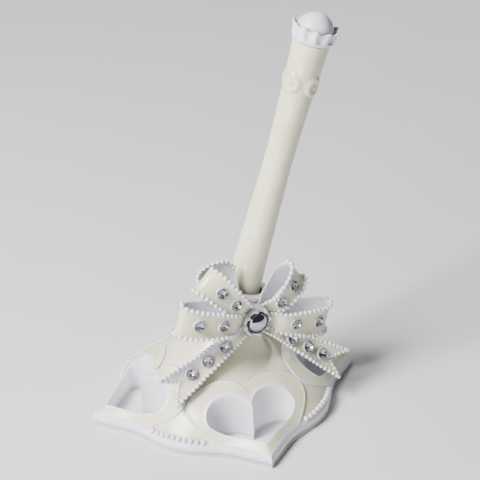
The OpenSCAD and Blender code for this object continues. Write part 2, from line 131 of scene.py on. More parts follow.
def skin(bm, columns, rows, place, paint=None):
    """A grid laid out by place(u, v), with u and v from 0 to 1, and its seams and poles welded."""
    made = bmesh.ops.create_grid(bm, x_segments=columns, y_segments=rows, size=0.5)["verts"]
    for face in {f for v in made for f in v.link_faces}:
        middle = face.calc_center_median()
        face.material_index = paint(middle.x + 0.5, middle.y + 0.5) if paint else 0
    for v in made:
        v.co = place(v.co.x + 0.5, v.co.y + 0.5)
    bmesh.ops.remove_doubles(bm, verts=made, dist=0.004)


def lathe(bm, profile, frame_matrix, columns, wobble=0.0):
    """A turned part: profile is a list of (radius, height), closed on itself or ending on the axis."""
    last = len(profile) - 1

    def place(u, v):
        r, h = profile[round(v * last)]
        a = 2 * math.pi * u
        r += wobble * math.sin(3 * a + 0.35 * h) * min(1, r)
        return frame_matrix @ Vector((r * math.cos(a), r * math.sin(a), h))

    skin(bm, columns, last, place)


def rounded(points, radius, steps):
    """The same profile with each inner corner replaced by a short smooth bend."""
    out = [points[0]]
    for before, corner, after in zip(points, points[1:], points[2:]):
        b, c, a = Vector(before), Vector(corner), Vector(after)
        reach = min(radius, (b - c).length * 0.45, (a - c).length * 0.45)
        start, end = c + (b - c).normalized() * reach, c + (a - c).normalized() * reach
        for i in range(steps + 1):
            t = i / steps
            out.append(tuple(start * (1 - t) ** 2 + c * 2 * t * (1 - t) + end * t * t))
    return out + [points[-1]]


def add_bead(bm, point, radius):
    made = bmesh.ops.create_icosphere(bm, subdivisions=2, radius=radius)["verts"]
    bmesh.ops.transform(bm, matrix=Matrix.Translation(point), verts=made)


def piece(name, bm, materials, body, nodes, sharp=45):
    """Turns a finished mesh in millimetres into a piece that rides on its body."""
    bmesh.ops.recalc_face_normals(bm, faces=bm.faces)
    for face in bm.faces:
        face.smooth = True
    bm.transform(Matrix.Scale(MM, 4))
    mesh = bpy.data.meshes.new(name)
    bm.to_mesh(mesh)
    bm.free()
    for material in materials:
        mesh.materials.append(material)
    mesh.set_sharp_from_angle(angle=math.radians(sharp))
    made = bpy.data.objects.new(name, mesh)
    bpy.context.scene.collection.objects.link(made)
    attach(made, body)
    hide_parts(*nodes)
    return made


# ---------- materials ----------


def linear(hex_colour):
    """A colour as seen on a screen, as the linear values that the shader takes."""
    parts = [int(hex_colour[i:i + 2], 16) / 255 for i in (1, 3, 5)]
    return tuple(c / 12.92 if c <= 0.04045 else ((c + 0.055) / 1.055) ** 2.4 for c in parts) + (1,)


def node(tree, kind, inputs=None, **settings):
    """Adds one node; an input takes a value or another node's output."""
    made = tree.nodes.new(kind)
    for name, value in settings.items():
        setattr(made, name, value)
    for name, value in (inputs or {}).items():
        if isinstance(value, bpy.types.NodeSocket):
            tree.links.new(value, made.inputs[name])
        else:
            made.inputs[name].default_value = value
    return made


def new_material(name):
    """An empty material with its shader and the place in millimetres on the object."""
    material = bpy.data.materials.new(name)
    material.use_nodes = True
    tree = material.node_tree
    shader = tree.nodes["Principled BSDF"]
    coords = node(tree, "ShaderNodeTexCoord")
    place = node(tree, "ShaderNodeVectorMath", {0: coords.outputs["Object"], "Scale": 1 / MM},
                 operation="SCALE")
    return material, tree, shader, place.outputs["Vector"]


def spots(tree, place, size_mm, detail=2.0, rough=0.5):
    """Cloudy variation whose patches are about size_mm across."""
    made = node(tree, "ShaderNodeTexNoise",
                {"Vector": place, "Scale": 1 / size_mm, "Detail": detail, "Roughness": rough})
    return made.outputs["Fac"]


def ramp(tree, fac, low, high, out_low, out_high):
    """Stretches one range of values over another."""
    made = node(tree, "ShaderNodeMapRange", {"Value": fac, "From Min": low, "From Max": high,
                                             "To Min": out_low, "To Max": out_high})
    return made.outputs["Result"]


def blend(tree, fac, first, second):
    """Mix of two colours."""
    made = node(tree, "ShaderNodeMix", data_type="RGBA")
    factor_socket, first_socket, second_socket = 0, 6, 7
    for index, value in ((factor_socket, fac), (first_socket, first), (second_socket, second)):
        if isinstance(value, bpy.types.NodeSocket):
            tree.links.new(value, made.inputs[index])
        else:
            made.inputs[index].default_value = value
    return made.outputs[2]


def relief(tree, height, depth_mm, normal=None):
    """Small relief of about that depth."""
    inputs = {"Height": height, "Distance": depth_mm * MM, "Strength": 1.0}
    if normal:
        inputs["Normal"] = normal
    return node(tree, "ShaderNodeBump", inputs).outputs["Normal"]


def wear(tree):
    """1 on outer edges and corners, where the paint is thin and rubbed."""
    geometry = node(tree, "ShaderNodeNewGeometry")
    return ramp(tree, geometry.outputs["Pointiness"], 0.53, 0.62, 0, 1)


def hollows(tree, reach_mm):
    """1 in hollows and against neighbouring relief, where shade falls; used to paint shade into the colour.
    """
    shade = node(tree, "ShaderNodeAmbientOcclusion", {"Distance": reach_mm * MM}, samples=4)
    return ramp(tree, shade.outputs["AO"], 0.95, 0.35, 0, 1)


def enamel(name, pale, deep, painted_shade, gloss, coat):
    """Sprayed enamel over cast resin: pale pigment, painted shade darkening the hollows, a satin lacquer."""
    material, tree, shader, place = new_material(name)
    clouds = ramp(tree, spots(tree, place, 9, 3), 0.35, 0.65, 0, 1)
    colour = blend(tree, clouds, linear(pale), linear(deep))
    # Painted shade: the colour darkens towards a shade tone wherever ambient occlusion finds a hollow.
    colour = blend(tree, hollows(tree, 5), colour, linear(painted_shade))
    colour = blend(tree, wear(tree), colour, linear("#F7F6F4"))
    tree.links.new(colour, shader.inputs["Base Color"])
    tree.links.new(ramp(tree, spots(tree, place, 1.6, 2), 0.3, 0.7, gloss - 0.06, gloss + 0.06),
                   shader.inputs["Roughness"])
    peel = relief(tree, spots(tree, place, 0.5, 2), 0.012)
    sag = relief(tree, spots(tree, place, 5, 2), 0.10, peel)
    tree.links.new(sag, shader.inputs["Normal"])
    shader.inputs["IOR"].default_value = 1.5
    shader.inputs["Coat Weight"].default_value = coat
    shader.inputs["Coat Roughness"].default_value = 0.16
    return material


# Pearl ivory enamel on the resin: sprayed in thin coats, so the warm tone drifts a little from place to
# place and its mica makes a broad, silky highlight instead of a sharp one.
# Its third colour, olive-grey, is painted shade for the hollows.
IVORY = enamel("pearl_ivory_enamel", "#EDE9CD", "#E2DDBA", "#A9A486", 0.32, 0.4)
# White enamel brushed on the raised edges, walls, beads and knot: cooler, a little chalkier.
# Its third colour, grey-lilac, is painted shade for the hollows.
WHITE = enamel("white_enamel", "#F4F3F8", "#ECEBF3", "#B9B7C4", 0.38, 0.2)


def felt():
    """Thin off-white wool felt glued under the base: a matted nap with no gloss at all."""
    material, tree, shader, place = new_material("felt")
    fibres = spots(tree, place, 0.25, 4, 0.7)
    tree.links.new(blend(tree, fibres, linear("#D9D8D3"), linear("#BDBBB4")), shader.inputs["Base Color"])
    tree.links.new(relief(tree, fibres, 0.12), shader.inputs["Normal"])
    shader.inputs["Roughness"].default_value = 0.95
    shader.inputs["Sheen Weight"].default_value = 0.4
    shader.inputs["Specular IOR Level"].default_value = 0.2
    return material


def moulded_plastic():
    """Injection-moulded sleeve: near-black, with the mould's fine grain and drawing lines up its wall."""
    material, tree, shader, place = new_material("moulded_plastic")
    stretched = node(tree, "ShaderNodeVectorMath", {0: place, 1: (1, 1, 0.08)}, operation="MULTIPLY")
    lines = spots(tree, stretched.outputs["Vector"], 0.8, 2)
    grain = spots(tree, place, 0.2, 2)
    tree.links.new(blend(tree, grain, linear("#2E2E31"), linear("#3A3A3E")), shader.inputs["Base Color"])
    tree.links.new(ramp(tree, lines, 0.3, 0.7, 0.38, 0.52), shader.inputs["Roughness"])
    tree.links.new(relief(tree, lines, 0.02), shader.inputs["Normal"])
    return material


def metal(name, colour, dull, rough, line_mm):
    """Turned and polished metal: fine turning lines that dull the shine, a duller film in patches."""
    material, tree, shader, place = new_material(name)
    flattened = node(tree, "ShaderNodeVectorMath", {0: place, 1: (0.15, 0.15, 1)}, operation="MULTIPLY")
    lines = spots(tree, flattened.outputs["Vector"], line_mm, 3)
    film = ramp(tree, spots(tree, place, 3, 3), 0.4, 0.7, 0, 1)
    tree.links.new(blend(tree, film, linear(colour), linear(dull)), shader.inputs["Base Color"])
    tree.links.new(ramp(tree, lines, 0.3, 0.7, rough * 0.7, rough * 1.5), shader.inputs["Roughness"])
    tree.links.new(relief(tree, lines, 0.006), shader.inputs["Normal"])
    shader.inputs["Metallic"].default_value = 1
    return material


def silvered_glass():
    """Glass cabochon silvered on the back: a clear polished dome over a mirror, with a faint grey body."""
    material, tree, shader, place = new_material("silvered_glass")
    haze = ramp(tree, spots(tree, place, 2.5, 3), 0.4, 0.7, 0, 1)
    tree.links.new(blend(tree, haze, linear("#B9BBC2"), linear("#A6A8B0")), shader.inputs["Base Color"])
    tree.links.new(ramp(tree, haze, 0, 1, 0.02, 0.05), shader.inputs["Roughness"])
    tree.links.new(relief(tree, spots(tree, place, 1.5, 1), 0.004), shader.inputs["Normal"])
    shader.inputs["Metallic"].default_value = 1
    shader.inputs["Coat Weight"].default_value = 1
    shader.inputs["Coat Roughness"].default_value = 0.02
    return material


def crystal():
    """Cut lead glass: water-clear, sharply polished facets with the faintest cool tint."""
    material, tree, shader, place = new_material("cut_crystal")
    tint = spots(tree, place, 3, 1)
    tree.links.new(blend(tree, tint, linear("#FFFFFF"), linear("#EFF4FA")), shader.inputs["Base Color"])
    tree.links.new(ramp(tree, spots(tree, place, 1, 1), 0.3, 0.7, 0.0, 0.015), shader.inputs["Roughness"])
    shader.inputs["IOR"].default_value = 1.57
    shader.inputs["Transmission Weight"].default_value = 1
    return material


def foil():
    """Silver foil fired on the back of each crystal: a bright mirror with a few soft wrinkles."""
    material, tree, shader, place = new_material("silver_foil")
    wrinkles = spots(tree, place, 0.9, 2)
    tree.links.new(blend(tree, wrinkles, linear("#E6E8EE"), linear("#B8BCC6")), shader.inputs["Base Color"])
    tree.links.new(relief(tree, wrinkles, 0.01), shader.inputs["Normal"])
    shader.inputs["Metallic"].default_value = 1
    shader.inputs["Roughness"].default_value = 0.06
    return material


FELT, PLASTIC = felt(), moulded_plastic()
# Nickel-plated nose: bright, cool, polished along its turning lines.
PLATED = metal("plated_metal", "#D8D8DC", "#BEBFC4", 0.16, 0.15)
# Drawn brass of the refill: warm, duller where it has tarnished.
BRASS = metal("brass", "#D8B25E", "#B08C48", 0.24, 0.2)
# Blackened bright-cut cup that holds the cabochon.
DARK_METAL = metal("darkened_metal", "#6E6F76", "#4B4C52", 0.2, 0.3)
SILVERED, CRYSTAL, FOIL = silvered_glass(), crystal(), foil()

for node_name, material in (("base_pad", FELT), ("socket_sleeve", PLASTIC), ("nose_cone", PLATED),
                            ("refill_tube", BRASS), ("refill_point", BRASS)):
    for material_slot in frame["nodes"][node_name].material_slots:
        material_slot.material = material

# ---------- base ----------


def outline_out(along):
    """How far the base's outline lies from the centre, at a place along one side."""
    swell = SIDE_BULGE * math.cos(math.pi / 2 * along / BULGE_HALF) ** 2 if abs(along) < BULGE_HALF else 0
    return HALF_SIDE + swell


def outline_point(u):
    """Outline of the base, with its four sides for u from 0 to 1."""
    side = min(3, int(u * 4 + 1e-6))
    along = HALF_SIDE * (2 * (u * 4 - side) - 1)
    out, a = outline_out(along), math.radians(-45 + 90 * side)
    return Vector((out * math.cos(a) - along * math.sin(a), out * math.sin(a) + along * math.cos(a)))


def edge_r(angle):
    """Radius of the outline in a direction, in degrees, by stepping towards it."""
    first_guess, steps = 45.0, 12
    a, r = math.radians(angle % 90 - 45), first_guess
    for _ in range(steps):
        r = outline_out(r * math.sin(a)) / math.cos(a)
    return r


def surface_h(r, edge):
    """Height of the field at radius r, where the outline's radius is edge."""
    q = r + (CORNER_R - edge) * (max(0.0, r - BEND_R) / (edge - BEND_R)) ** BEND_POWER
    return RIM_H + SLOPE * (CORNER_R - q) + CONE_H * math.exp(-(q - CONE_R) / CONE_FADE)


def leaned(q, h):
    """Point at height h over a place: upright near the rim, square to the pen's axis near the neck."""
    w = clamp((LEAN_FROM_R - q.length) / LEAN_OVER)
    leaning = AT_PEN @ Vector((q.x, q.y, h - PEN_CROSS_H))
    return Vector((q.x, q.y, h)).lerp(leaning, w * w * (3 - 2 * w))


def surface_point(p, f):
    """Point of the field on the way from the neck, at f = 0, to the outline point p, at f = 1."""
    r = NECK_R + (p.length - NECK_R) * f
    return leaned(p.normalized() * r, surface_h(r, p.length))


def neck_point(p, r, s):
    """Point at radius r and height s round the pen's axis, on the side of the outline point p."""
    u = p.normalized() * r
    return AT_PEN @ Vector((u.x, u.y, s))


def bezier(p, t):
    """Point at t on the curve with four control points."""
    return (p[0] * (1 - t) ** 3 + p[1] * 3 * t * (1 - t) ** 2
            + p[2] * 3 * t * t * (1 - t) + p[3] * t ** 3)


def heart_point(shoulder, flank, u):
    """Point of a heart outline, from its notch round by its point and back, for u from 0 to 1."""
    half = 4 * u if u <= 0.5 else 4 * (1 - u)
    curve, t = (shoulder, half) if half < 1 else (flank, half - 1)
    p = bezier([Vector(q) for q in curve], t)
    return p if u <= 0.5 else Vector((-p.x, p.y))


# Heart outlines as [across, out]: the shoulder from the notch to the widest place, the flank to the point
HOLE = (((0, 37.8), (1, 28.5), (19.5, 26.5), (19.5, 36)),
        ((19.5, 36), (19.5, 39.2), (9, 45.8), (0, 53.2)))
FRAME = (((0, 31), (1.5, 22.5), (19, 20), (25.3, 25.5)),
         ((25.3, 25.5), (29.5, 31.5), (22, 42), (0, 59.6)))


def plaque_plan(u):
    """Inner and outer edge of a heart plaque at u, as [across, out], kept inside the rim."""
    inner, outer = heart_point(*HOLE, u), heart_point(*FRAME, u)
    limit = edge_r(math.degrees(math.atan2(outer.x, outer.y))) - PLAQUE_INSET
    if outer.length > limit:
        outer = outer.normalized() * limit
    return inner, outer


def on_field(p, k, lift):
    """Point over the field at [across, out] of heart k."""
    a = math.atan2(p.x, p.y)
    around = a + math.radians(90 * k - 90)
    place = Vector((math.cos(around), math.sin(around))) * p.length
    return leaned(place, surface_h(p.length, edge_r(math.degrees(a))) + lift)


def heart_cutter():
    """A tool that cuts the four hearts out of the stand, a little wider than their holes."""
    low, high, middle, widened = -2, 40, Vector((0, 40)), 0.4
    cutter = bmesh.new()
    for k in range(4):
        around = turn(90 * k, "Z")

        def wall(u, v, around=around):
            inner, outer = plaque_plan(u)
            p = middle if v < 0.1 or v > 0.9 else inner.lerp(outer, widened)
            return around @ Vector((p.x, -p.y, low if v < 0.5 else high))

        skin(cutter, 96, 3, wall)
    bmesh.ops.recalc_face_normals(cutter, faces=cutter.faces)
    cutter.transform(Matrix.Scale(MM, 4))
    mesh = bpy.data.meshes.new("heart_cutter")
    cutter.to_mesh(mesh)
    cutter.free()
    tool = bpy.data.objects.new("heart_cutter", mesh)
    bpy.context.scene.collection.objects.link(tool)
    return tool


def build_stand():
    """The casting: white foot and rim, ivory field and neck, bored for the sleeve and cut for the hearts."""
    field_steps, side_steps = 56, 56
    # Rows of the skin: on the foot (share of the outline, height), the field (share of the way out) or
    # the neck (radius, height along the axis)
    rows = [("foot", 0.0, PAD_T), ("foot", 0.985, PAD_T), ("foot", 0.996, PAD_T + 0.15),
            ("foot", 1, PAD_T + 0.5), ("foot", 1, RIM_H - 1.6), ("foot", 1, RIM_H - 0.7),
            ("foot", 0.9985, RIM_H - 0.25)]
    rim_rows = len(rows)
    rows += [("field", (1 - i / field_steps) ** 1.25 * 0.992, 0.0) for i in range(field_steps + 1)]
    rows += [("neck", NECK_R, s) for s in (25, 28, 31, NECK_TOP_S - 0.6)]
    rows += [("neck", NECK_R - 0.2, NECK_TOP_S - 0.15), ("neck", NECK_R - 0.6, NECK_TOP_S),
             ("neck", BORE_R, NECK_TOP_S), ("neck", BORE_R, 10),
             ("neck", BORE_R, BORE_FLOOR_S), ("neck", 0, BORE_FLOOR_S)]
    last = len(rows) - 1

    def place(u, v):
        kind, a, b = rows[round(v * last)]
        p = outline_point(u)
        if kind == "foot":
            return Vector((p.x * a, p.y * a, b))
        if kind == "field":
            return surface_point(p, a)
        return neck_point(p, a, b)

    bm = bmesh.new()
    skin(bm, 4 * side_steps, last, place, lambda u, v: 1 if v * last < rim_rows + 0.9 else 0)
    stand = piece("stand_body", bm, (IVORY, WHITE), "stand", ("stand_casting",), 50)

    tool = heart_cutter()
    cut = stand.modifiers.new("hearts", "BOOLEAN")
    cut.operation, cut.solver, cut.object = "DIFFERENCE", "EXACT", tool
    graph = bpy.context.evaluated_depsgraph_get()
    finished = bpy.data.meshes.new_from_object(stand.evaluated_get(graph))
    stand.modifiers.clear()
    stand.data = finished
    finished.name = "stand_body"
    bpy.data.objects.remove(tool)


def build_plaque(side, k):
    """A raised heart: white wall of the hole, thin white lips, ivory field, white step outside."""
    # Rows of the skin, each with its distance from the hole's or the outer edge and its rise over the top
    wall = [("wall", i / 8) for i in range(8)]
    lips_in = [("in", 0.02, -0.30), ("in", 0.14, -0.08), ("in", 0.36, 0.06), ("in", 0.62, 0.06),
               ("in", 0.86, -0.04)]
    fields = [("mid", i / 7, -0.06) for i in range(1, 7)]
    lips_out = [("out", 1.0, -0.05), ("out", 0.72, 0.05), ("out", 0.44, 0.05), ("out", 0.2, -0.08),
                ("out", 0.04, -0.32), ("out", -0.02, -0.62), ("out", -0.05, -1.5)]
    # Under the field: share of the way from the hole to the outer edge, and 1 where the row is on the foot
    under = [("deep", 0.6, 0), ("deep", 0.5, 1), ("deep", 0.25, 1), ("wall", 0)]
    inner_lip_w, both_lips_w = 0.9, 1.9
    rows = wall + lips_in + fields + lips_out + under
    last = len(rows) - 1
    ivory_from, ivory_to = len(wall) + len(lips_in) - 0.5, len(wall) + len(lips_in) + len(fields) + 0.5

    def place(u, v):
        row = rows[round(v * last)]
        inner, outer = plaque_plan(u)
        span = (outer - inner).length
        if row[0] == "wall":
            top = on_field(inner, k, PLAQUE_T - 0.34)
            return Vector((top.x, top.y, PAD_T + (top.z - PAD_T) * row[1]))
        if row[0] == "deep":
            p = on_field(inner.lerp(outer, row[1]), k, -1.2)
            return Vector((p.x, p.y, PAD_T)) if row[2] else p
        if row[0] == "in":
            f = row[1] / span
        elif row[0] == "out":
            f = 1 - row[1] / span
        else:
            f = (inner_lip_w + (span - both_lips_w) * row[1]) / span
        return on_field(inner.lerp(outer, f), k, PLAQUE_T + row[2])

    bm = bmesh.new()
    skin(bm, 192, last, place, lambda u, v: 0 if ivory_from < v * last < ivory_to else 1)
    piece(f"plaque_{side}_relief", bm, (IVORY, WHITE), "stand", (f"plaque_{side}",), 50)


def build_side_beads(name, k):
    """A row of beads, each a touch different in size, on the field below where two hearts meet."""
    bm = bmesh.new()
    out = HALF_SIDE + SIDE_BULGE - SIDE_BEAD_INSET
    around = turn(-45 + 90 * k, "Z")
    for i in range(SIDE_BEAD_COUNT):
        along = (i - (SIDE_BEAD_COUNT - 1) / 2) * (SIDE_BEAD_D + SIDE_BEAD_GAP)
        sag = out - (along / (BULGE_HALF / 2)) ** 2 * SIDE_BEAD_SAG
        h = surface_h(math.hypot(sag, along), math.hypot(outline_out(along), along))
        place = around @ Matrix.Translation((sag, along, h + SIDE_BEAD_LIFT)) @ turn(45, "Y")
        size = SIDE_BEAD_D / 2 * (1 - 0.04 * math.sin(2.3 * i))
        made = bmesh.ops.create_icosphere(bm, subdivisions=3, radius=size)["verts"]
        bmesh.ops.transform(bm, matrix=place, verts=made)
    piece(f"{name}_row", bm, (WHITE,), "stand", (name,))


build_stand()
for k, side in enumerate(("front", "right", "back", "left")):
    build_plaque(side, k)
for k, name in enumerate(("beads_front_right", "beads_back_right", "beads_back_left", "beads_front_left")):
    build_side_beads(name, k)

# ---------- neck and knot ----------


def build_neck_ribbon():
    """Ribbon wound round the neck, gathered into soft level folds."""
    low, high = BAND_S
    profile = rounded([
        (NECK_R + 0.02, low + 0.4), (NECK_R + 0.5, low), (BAND_R - 0.5, low + 0.3), (BAND_R, low + 2.5),
        (BAND_R - 0.5, 25.6), (BAND_R - 0.05, 27.6), (BAND_R - 0.2, 29.6), (BAND_R - 0.75, 30.6),
        (BAND_R - 0.25, 31.6), (BAND_R - 0.35, 32.6), (BAND_R - 0.9, 33.4), (BAND_R - 0.5, 34.2),
        (BAND_R - 0.75, high - 0.3), (BAND_R - 1.4, high), (RIM_R + 0.5, high - 0.05), (RIM_R, high - 0.6),
        (RIM_R, NECK_TOP_S + 0.3), (RIM_R + 0.4, NECK_TOP_S + 0.02), (NECK_R + 0.02, NECK_TOP_S + 0.02),
        (NECK_R + 0.02, low + 0.4)], 0.7, 4)
    last = len(profile) - 1

    def place(u, v):
        r, s = profile[round(v * last)]
        a = 2 * math.pi * u
        fold = clamp((r - NECK_R - 0.6) / 0.8)
        s += fold * (0.28 * math.sin(2 * a + 0.6) + 0.14 * math.sin(5 * a + 1.9))
        r -= fold * (0.1 + 0.1 * math.sin(4 * a + 0.9 * s))
        return AT_PEN @ Vector((r * math.cos(a), r * math.sin(a), s))

    bm = bmesh.new()
    skin(bm, 144, last, place)
    piece("neck_ribbon_folds", bm, (WHITE,), "stand", ("neck_ribbon",), 60)


def build_knot():
    """The gathered knot: a soft disc with eight small nubs round the cup."""
    back, seat = -5.2, -0.9
    profile = rounded([(0, back), (6.2, back), (KNOT_R, -4.5), (KNOT_R, -1.0), (6.75, 0.35), (6.2, 0.95),
                       (5.6, 1.05), (5.05, 0.8), (4.95, seat), (0, seat)], 0.6, 6)
    last = len(profile) - 1

    def place(u, v):
        r, h = profile[round(v * last)]
        a = 2 * math.pi * u
        if h > -4.5 and r > 4.97:
            nearest = (math.floor(u * NUB_COUNT) + 0.5) / NUB_COUNT * 2 * math.pi
            off = math.hypot(r * math.cos(a) - NUB_OUT * math.cos(nearest),
                             r * math.sin(a) - NUB_OUT * math.sin(nearest))
            if h > seat:
                h += NUB_H * max(0.0, 1 - (off / NUB_R) ** 2) ** 0.8
            r -= 0.34 * (0.5 + 0.5 * math.cos(NUB_COUNT * a)) * clamp(r - 5.6)
        return AT_KNOT @ Vector((r * math.cos(a), r * math.sin(a), h))

    bm = bmesh.new()
    skin(bm, 192, last, place)
    piece("knot_body", bm, (WHITE,), "stand", ("bow_knot",), 60)


def build_gem():
    """A thin turned cup with a rolled lip, and the cabochon that stands in it."""
    cup = rounded([(GEM_R - 0.5, -0.95), (GEM_R + 0.48, -0.95), (GEM_R + 0.48, 1.3), (GEM_R + 0.36, 1.75),
                   (GEM_R + 0.1, 1.78), (GEM_R - 0.02, 1.5), (GEM_R - 0.02, -0.3), (GEM_R - 0.5, -0.4),
                   (GEM_R - 0.5, -0.95)], 0.16, 4)
    bm = bmesh.new()
    lathe(bm, cup, AT_KNOT, 96)
    piece("gem_cup", bm, (DARK_METAL,), "stand", ("gem_setting",))

    rise = GEM_CURVE_R - math.sqrt(GEM_CURVE_R ** 2 - GEM_R ** 2)
    girdle, steps = 1.4, 24
    dome = [(0, -0.28), (GEM_R - 0.6, -0.28), (GEM_R - 0.1, 0.1), (GEM_R - 0.04, girdle - 0.1)]
    slope = math.asin(GEM_R / GEM_CURVE_R)
    for i in range(steps + 1):
        a = slope * (1 - i / steps)
        r = GEM_CURVE_R * math.sin(a) - (0.04 if i < 2 else 0)
        dome.append((max(0, r), girdle + rise - GEM_CURVE_R + GEM_CURVE_R * math.cos(a)))
    bm = bmesh.new()
    lathe(bm, dome, AT_KNOT, 96)
    piece("gem_dome", bm, (SILVERED,), "stand", ("centre_gem",))


build_neck_ribbon()
build_knot()
build_gem()

# ---------- bow ----------


def clear_of_pen(p):
    """Moves a point of the bow outwards where it would stand in the pen's way."""
    nearest, kept_from, moved_from, over = 9.2, 12, 7, 4
    q = FROM_PEN @ p
    r = math.hypot(q.x, q.y)
    if q.z < BAND_S[1] - over or r > kept_from or r < 1e-6:
        return p
    pushed = nearest + (kept_from - nearest) * max(0.0, r - moved_from) / (kept_from - moved_from)
    share = min(1.0, (q.z - BAND_S[1] + over) / over)
    grow = 1 + (max(pushed, r) / r - 1) * share
    return AT_PEN @ Vector((q.x * grow, q.y * grow, q.z))


def half_width(x, w):
    """Half width of a loop's ribbon, narrow at the knot and nearly w from the middle of the loop on."""
    return w * (1 - math.exp(-(max(x, 0) + 2) / 14))


def tuck(x):
    """0 inside the knot, where a ribbon is pinched flat behind its face, rising to 1 clear of it."""
    t = clamp((x - 5.5) / 7)
    return t * t * (3 - 2 * t)


def teardrop(strip, t):
    """Middle line of a loop seen along its width, t from 0 to 1 out along the front and back behind."""
    a = 2 * math.pi * t
    x = strip[2] / 2 * (1 - math.cos(a))
    y = -strip[3] / 2 * math.sin(a) * abs(math.sin(a / 2)) ** 0.7
    behind_knot = 0.9 if t < 0.5 else 2.5
    return Vector((x, y * tuck(x) + behind_knot * (1 - tuck(x))))


def outwards(strip, t):
    """Direction square to the ribbon, away from the inside of the loop."""
    step = 0.004
    along = teardrop(strip, t + step) - teardrop(strip, t - step)
    return Vector((along.y, -along.x)).normalized()


def ribbon_section(u):
    """Rounded flat section: share of the half width across, and distance outwards."""
    a = 2 * math.pi * u
    c, s = math.cos(a), math.sin(a)
    return math.copysign(abs(c) ** 0.36, c), RIBBON_T / 2 * math.copysign(abs(s) ** 0.5, s)


def loop_point(name, t, share, out):
    """Point on a loop: t round it, share of the half width across, out from its middle surface."""
    strip = LOOPS[name][0]
    p, n = teardrop(strip, t), outwards(strip, t)
    half = half_width(p.x, strip[4])
    flare = FLARES[name][1 if share > 0 else 0] * tuck(p.x - 2) * min(1.0, half / strip[4] * 1.15)
    front = 1 - 0.7 * clamp((t - 0.46) / 0.1)
    out += flare * front * (abs(share) ** 2.4 - 0.4)
    back = max(0.0, math.sin(math.pi * clamp((t - 0.4) / 0.6))) ** 0.8
    across = share * half + BACK_SHIFT[name] * back
    return clear_of_pen(at_strip(strip) @ Vector((p.x + n.x * out, p.y + n.y * out, across)))


def ribbon_paint(u, v):
    """Ivory on the outer face, white on the edges and inside."""
    share, out = ribbon_section(u)
    return 0 if out > 0 and abs(share) < 0.84 else 1


def left_tail_paint(u, v):
    """As on the loops, with the side above the valley fold left white."""
    share, out = ribbon_section(u)
    return 0 if out > 0 and -0.3 < share < 0.84 else 1


def build_loop(name):
    """One loop of ribbon, closed to a point at both of its ends inside the knot."""
    first = 0.01

    def place(u, v):
        share, out = ribbon_section(u)
        if min(v, 1 - v) < 0.001:
            share, out = 0, 0
        return loop_point(name, first + (1 - 2 * first) * v, share, out)

    bm = bmesh.new()
    skin(bm, 56, 130, place, ribbon_paint)
    if name == "upper_left":
        build_petal(bm)
    piece(f"loop_{name}_ribbon", bm, (IVORY, WHITE), "stand", (f"loop_{name}",), 60)


def along_curve(points, t):
    """Point at t, from 0 to 1, on a smooth curve through the points."""
    spans = len(points) - 1
    i = min(spans - 1, int(t * spans))
    f = t * spans - i
    a, b, c, d = (Vector(points[max(0, min(spans, i + n))]) for n in (-1, 0, 1, 2))
    return 0.5 * (2 * b + (c - a) * f + (2 * a - 5 * b + 4 * c - d) * f * f
                  + (3 * b - a - 3 * c + d) * f ** 3)


def petal_point(share, t, out):
    """Point of the petal: share across from its left edge to its right, t out from the knot."""
    left, right = along_curve(PETAL[0], t), along_curve(PETAL[1], t)
    p = left.lerp(right, (share + 1) / 2)
    dish = 0.9 * (1 - share * share) * math.sin(math.pi * min(1.0, t * 1.05)) ** 0.5
    return clear_of_pen(at_strip(LOOPS["upper_left"][0]) @ Vector((p.x, p.y + dish - out, p.z)))


def build_petal(bm):
    end = 0.04

    def place(u, v):
        share, out = ribbon_section(u)
        from_end = min(1.0, min(v, 1 - v) / end)
        return petal_point(share, v, out * math.sqrt(from_end * (2 - from_end)))

    skin(bm, 56, 80, place, lambda u, v: 1)


def add_petal_beads(bm):
    """Beads up the petal's right edge, round its end and a little way down its left."""
    side, lift, samples = 0.97, 0.35, 600
    run, gap, before = 0.0, 0.0, None
    for i in range(samples):
        t = 0.4 + 1.1 * i / samples
        point = petal_point(side, t, lift) if t < 1 else petal_point(-side, 2 - t, lift)
        run += (point - before).length if before else 0
        before = point
        if run >= gap:
            gap = run + 2.3 * BEAD_R
            add_bead(bm, point, BEAD_R)


def in_front_loop(p, strip):
    """True where a point lies within the width of the loop in front."""
    q = at_strip(strip).inverted() @ p
    return 0 < q.x < strip[2] and abs(q.z) < half_width(q.x, strip[4]) + 0.7


def build_loop_beads(name):
    """Beads along both edges of a loop, smaller near the knot, left out behind the loop in front."""
    strip = LOOPS[name][0]
    front = LOOPS[IN_FRONT[name]][0] if name in IN_FRONT else None
    bm = bmesh.new()
    samples = 900
    for side in (-1, 1):
        run, gap, before = 0.0, 0.0, None
        for i in range(1, int(samples * BEADS_TO[name])):
            p = teardrop(strip, i / samples)
            point = loop_point(name, i / samples, side * 0.985, 0.4)
            run += (point - before).length if before else 0
            before = point
            size = BEAD_R * (0.6 + 0.45 * min(1, half_width(p.x, strip[4]) / strip[4] / 0.8))
            if p.x < KNOT_R + 0.3 or run < gap:
                continue
            gap = run + 2.36 * size
            if front is None or not in_front_loop(point, front):
                add_bead(bm, point, size)
    if name == "upper_left":
        add_petal_beads(bm)
    piece(f"edging_{name}_beads", bm, (WHITE,), "stand", (f"edging_{name}",))


def tail_half(x, spec):
    """Half width of a tail, growing evenly from the knot to its end."""
    return TAIL_ROOT_W + (spec[4] - TAIL_ROOT_W) * max(0, x - KNOT_R) / (spec[3] - KNOT_R)


def tail_end(share):
    """How much shorter the swallow tail is at a share of the half width from its middle."""
    return NOTCH * (1 - min(1, abs(share)))


def valley_depth(across):
    """How far a tail stands up beside its valley fold, which is softly rounded."""
    return VALLEY * (math.sqrt(across * across + 0.5) - math.sqrt(0.5))


